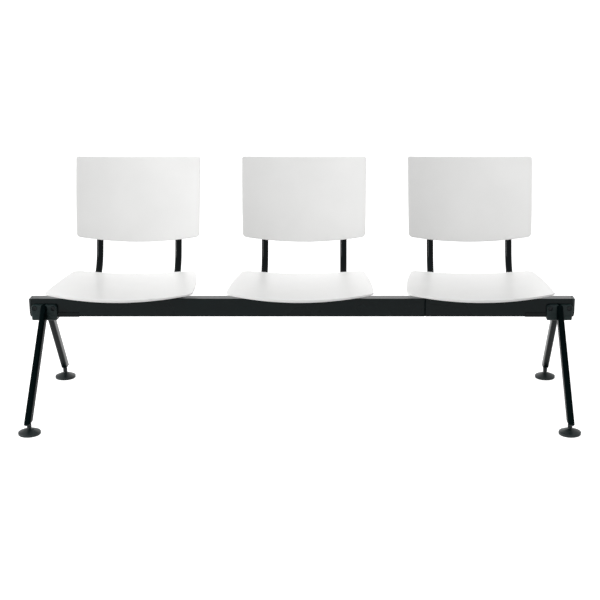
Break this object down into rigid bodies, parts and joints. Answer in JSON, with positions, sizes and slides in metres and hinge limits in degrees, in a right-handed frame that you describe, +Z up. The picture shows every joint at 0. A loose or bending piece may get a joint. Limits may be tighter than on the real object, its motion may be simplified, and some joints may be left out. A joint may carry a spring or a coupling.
{
  "type": "beam seating",
  "caption": "Beam seating: moulded seats and backs on bent tubes across one box-section beam, carried by splayed legs on levelling feet.",
  "frame": {"origin": "on the floor, under the middle of the bench's bounding box", "axes": "+X along the beam to the sitters' left, +Y to the rear, +Z up"},
  "size_m": [1.764, 0.6791, 0.7583],
  "materials": {
    "white_plastic": "white moulded polypropylene with a fine satin texture",
    "beam_steel": "black semi-gloss powder coat on a steel box section",
    "leg_steel": "black semi-gloss powder coat on oval steel tube and pressed steel",
    "tube_steel": "black semi-gloss powder coat on round steel tube and sheet",
    "black_casting": "black powder-coated casting",
    "foot_steel": "blackened steel spindle",
    "fastener_steel": "black zinc-plated steel fasteners",
    "black_plastic": "black moulded plastic"
  },
  "bodies": {
    "bench": {"beam_left": "beam_steel", "beam_right": "beam_steel", "beam_joint_sleeve": "beam_steel", "beam_joint_screws": "fastener_steel", "end_cap_left": "black_plastic", "end_cap_right": "black_plastic", "leg_saddle_left": "leg_steel", "leg_bolts_left": "fastener_steel", "leg_nuts_left": "fastener_steel", "front_leg_mount_left": "black_casting", "front_leg_left": "leg_steel", "front_leg_plug_left": "black_plastic", "rear_leg_mount_left": "black_casting", "rear_leg_left": "leg_steel", "rear_leg_plug_left": "black_plastic", "leg_saddle_right": "leg_steel", "leg_bolts_right": "fastener_steel", "leg_nuts_right": "fastener_steel", "front_leg_mount_right": "black_casting", "front_leg_right": "leg_steel", "front_leg_plug_right": "black_plastic", "rear_leg_mount_right": "black_casting", "rear_leg_right": "leg_steel", "rear_leg_plug_right": "black_plastic", "frame_tube_left_1": "tube_steel", "frame_tube_right_1": "tube_steel", "seat_bracket_1": "tube_steel", "bracket_screws_1": "fastener_steel", "seat_screws_1": "fastener_steel", "back_screws_1": "fastener_steel", "tube_plugs_1": "black_plastic", "seat_shell_1": "white_plastic", "back_shell_1": "white_plastic", "frame_tube_left_2": "tube_steel", "frame_tube_right_2": "tube_steel", "seat_bracket_2": "tube_steel", "bracket_screws_2": "fastener_steel", "seat_screws_2": "fastener_steel", "back_screws_2": "fastener_steel", "tube_plugs_2": "black_plastic", "seat_shell_2": "white_plastic", "back_shell_2": "white_plastic", "frame_tube_left_3": "tube_steel", "frame_tube_right_3": "tube_steel", "seat_bracket_3": "tube_steel", "bracket_screws_3": "fastener_steel", "seat_screws_3": "fastener_steel", "back_screws_3": "fastener_steel", "tube_plugs_3": "black_plastic", "seat_shell_3": "white_plastic", "back_shell_3": "white_plastic"},
    "stem_front_left": {"front_foot_stem_left": "foot_steel"},
    "pad_front_left": {"front_foot_pad_left": "black_plastic"},
    "stem_rear_left": {"rear_foot_stem_left": "foot_steel"},
    "pad_rear_left": {"rear_foot_pad_left": "black_plastic"},
    "stem_front_right": {"front_foot_stem_right": "foot_steel"},
    "pad_front_right": {"front_foot_pad_right": "black_plastic"},
    "stem_rear_right": {"rear_foot_stem_right": "foot_steel"},
    "pad_rear_right": {"rear_foot_pad_right": "black_plastic"}
  },
  "joints": [
    {"name": "level_front_left", "type": "slide", "parent": "bench", "child": "stem_front_left", "axis": [0, 0, -1], "range_m": [0, 0.01]},
    {"name": "swivel_front_left", "type": "hinge", "parent": "stem_front_left", "child": "pad_front_left", "pos_m": [-0.832, -0.30528, 0.015], "axis": [1, 0, 0], "range_deg": [-8, 8]},
    {"name": "level_rear_left", "type": "slide", "parent": "bench", "child": "stem_rear_left", "axis": [0, 0, -1], "range_m": [0, 0.01]},
    {"name": "swivel_rear_left", "type": "hinge", "parent": "stem_rear_left", "child": "pad_rear_left", "pos_m": [-0.832, 0.22072, 0.015], "axis": [1, 0, 0], "range_deg": [-8, 8]},
    {"name": "level_front_right", "type": "slide", "parent": "bench", "child": "stem_front_right", "axis": [0, 0, -1], "range_m": [0, 0.01]},
    {"name": "swivel_front_right", "type": "hinge", "parent": "stem_front_right", "child": "pad_front_right", "pos_m": [0.832, -0.30528, 0.015], "axis": [1, 0, 0], "range_deg": [-8, 8]},
    {"name": "level_rear_right", "type": "slide", "parent": "bench", "child": "stem_rear_right", "axis": [0, 0, -1], "range_m": [0, 0.01]},
    {"name": "swivel_rear_right", "type": "hinge", "parent": "stem_rear_right", "child": "pad_rear_right", "pos_m": [0.832, 0.22072, 0.015], "axis": [1, 0, 0], "range_deg": [-8, 8]}
  ]
}
